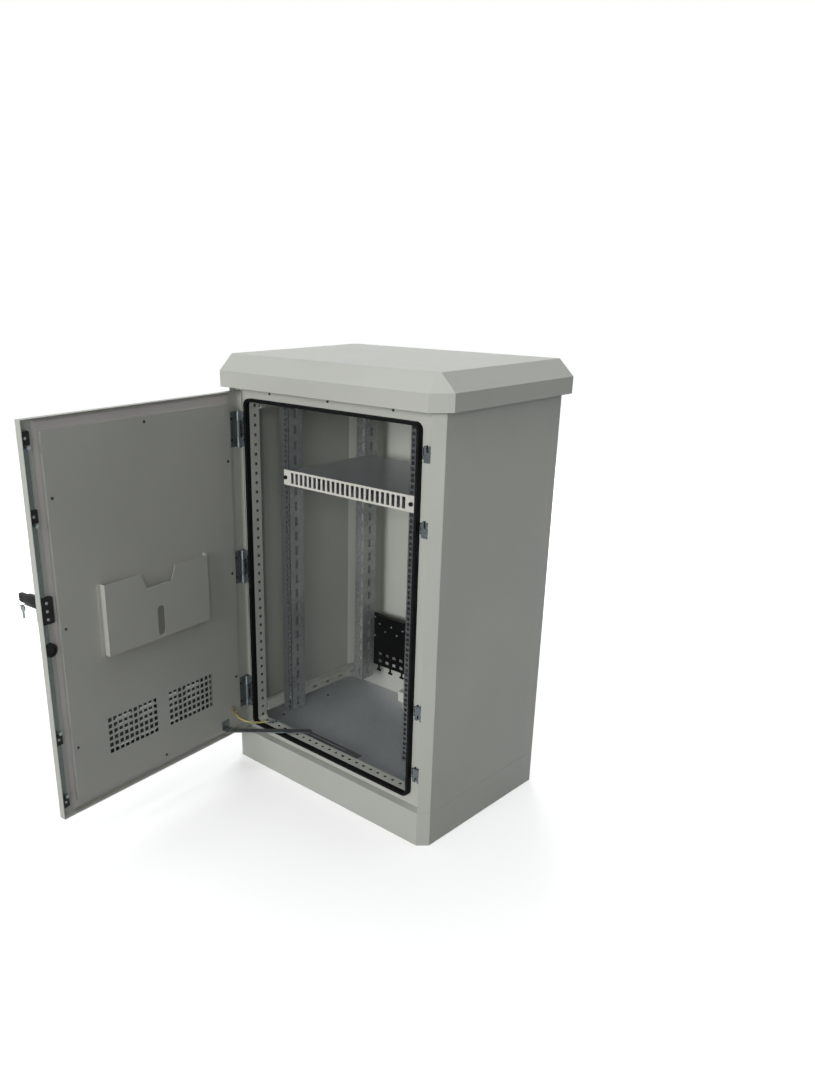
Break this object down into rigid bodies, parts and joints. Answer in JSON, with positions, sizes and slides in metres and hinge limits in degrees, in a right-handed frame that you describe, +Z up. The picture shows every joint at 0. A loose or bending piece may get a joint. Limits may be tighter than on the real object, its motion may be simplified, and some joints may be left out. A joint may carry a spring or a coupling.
{
  "type": "outdoor equipment cabinet",
  "caption": "Roadside equipment cabinet on a plinth with a hipped roof cap, an open double skinned door with rod lock, rack rails, patch panel and cable anchor panel inside.",
  "frame": {"origin": "middle of the plinth's underside, on the ground", "axes": "+X to the right seen from the front, +Y from the door opening to the rear wall, +Z up"},
  "size_m": [0.824, 1.2497, 1.249],
  "materials": {
    "cabinet_paint": "textured light grey powder coat",
    "liner_paint": "textured grey powder coat",
    "zinc": "zinc plated, dull",
    "rack_steel": "zinc coated sheet",
    "seal_rubber": "matt black",
    "rod_steel": "dark oiled zinc plate",
    "black_plastic": "black moulded",
    "black_metal": "black powder coat",
    "panel_paint": "light grey paint",
    "white_plastic": "white moulded",
    "handle_metal": "dark satin",
    "wire_cover": "yellow and green sheath"
  },
  "bodies": {
    "cabinet": {"plinth": "cabinet_paint", "body_shell": "cabinet_paint", "top_panel": "cabinet_paint", "floor_plate": "rack_steel", "roof_cap": "cabinet_paint", "roof_spacers": "zinc", "front_frame": "cabinet_paint", "door_seal": "seal_rubber", "hinge_pins": "zinc", "patch_panel": "panel_paint", "panel_screws": "black_metal", "patch_tray": "rack_steel", "cable_anchor_panel": "black_metal", "terminal_block": "white_plastic", "body_screws": "zinc", "stay_track": "zinc", "earth_stud_frame": "zinc", "earth_lug_frame": "zinc", "earth_wire": "wire_cover", "keeper_1": "zinc", "keeper_2": "zinc", "keeper_3": "zinc", "keeper_4": "zinc", "hinge_frame_leaf_1": "zinc", "hinge_frame_leaf_2": "zinc", "hinge_frame_leaf_3": "zinc", "depth_bar_lower_left": "cabinet_paint", "depth_bar_upper_left": "cabinet_paint", "rack_rail_front_left": "rack_steel", "rack_rail_rear_left": "rack_steel", "depth_bar_lower_right": "cabinet_paint", "depth_bar_upper_right": "cabinet_paint", "rack_rail_front_right": "rack_steel", "rack_rail_rear_right": "rack_steel"},
    "door": {"door_skin": "cabinet_paint", "door_liner": "liner_paint", "door_seal_frame": "liner_paint", "door_screws": "zinc", "document_pocket": "liner_paint", "lock_gearbox": "black_plastic", "lock_plug": "black_plastic", "rod_guides": "black_plastic", "escutcheon": "handle_metal", "stay_bracket": "zinc", "earth_stud_door": "zinc", "earth_lug_door": "zinc", "hinge_door_leaf_1": "black_metal", "hinge_door_leaf_2": "black_metal", "hinge_door_leaf_3": "black_metal"},
    "rod_upper": {"rod_upper": "rod_steel", "upper_lock_pins": "zinc"},
    "rod_lower": {"rod_lower": "rod_steel", "lower_lock_pins": "zinc"},
    "handle": {"handle_lever": "handle_metal"},
    "key": {"key": "black_plastic"},
    "spare_key": {"spare_key": "zinc", "key_ring": "zinc"},
    "stay_arm": {"stay_arm": "zinc"},
    "stay_slider": {"stay_slider": "zinc"}
  },
  "joints": [
    {"name": "door_swing", "type": "hinge", "parent": "cabinet", "child": "door", "pos_m": [-0.3435, -0.257, 0.634], "axis": [0, 0, 1], "range_deg": [0, 84.7], "deforming": ["earth_wire"]},
    {"name": "stay_arm_turn", "type": "hinge", "parent": "door", "child": "stay_arm", "pos_m": [-0.31185, -0.36002, 0.132], "axis": [0, 0, 1], "range_deg": [-118.35, 0]},
    {"name": "stay_slide", "type": "slide", "parent": "cabinet", "child": "stay_slider", "axis": [1, 0, 0], "range_m": [0, 0.13745]},
    {"name": "handle_turn", "type": "hinge", "parent": "door", "child": "handle", "pos_m": [-0.2928, -0.93341, 0.7], "axis": [0.9957, 0.0924, 0], "range_deg": [0, 90]},
    {"name": "rod_upper_slide", "type": "slide", "parent": "door", "child": "rod_upper", "axis": [0, 0, -1], "range_m": [0, 0.018]},
    {"name": "rod_lower_slide", "type": "slide", "parent": "door", "child": "rod_lower", "axis": [0, 0, 1], "range_m": [0, 0.018]},
    {"name": "key_turn", "type": "hinge", "parent": "handle", "child": "key", "pos_m": [-0.2928, -0.93341, 0.7], "axis": [0.9957, 0.0924, 0], "range_deg": [0, 90]},
    {"name": "spare_key_swing", "type": "hinge", "parent": "key", "child": "spare_key", "pos_m": [-0.38341, -0.94181, 0.7], "axis": [0.0924, -0.9957, 0], "range_deg": [-25, 25]}
  ],
  "couplings": [
    {"joint": "stay_arm_turn", "follows": "door_swing", "ratio": -1.3949},
    {"joint": "stay_slide", "follows": "door_swing", "m_per_rad": 0.092843},
    {"joint": "rod_upper_slide", "follows": "handle_turn", "m_per_rad": 0.011458},
    {"joint": "rod_lower_slide", "follows": "handle_turn", "m_per_rad": 0.011458}
  ]
}
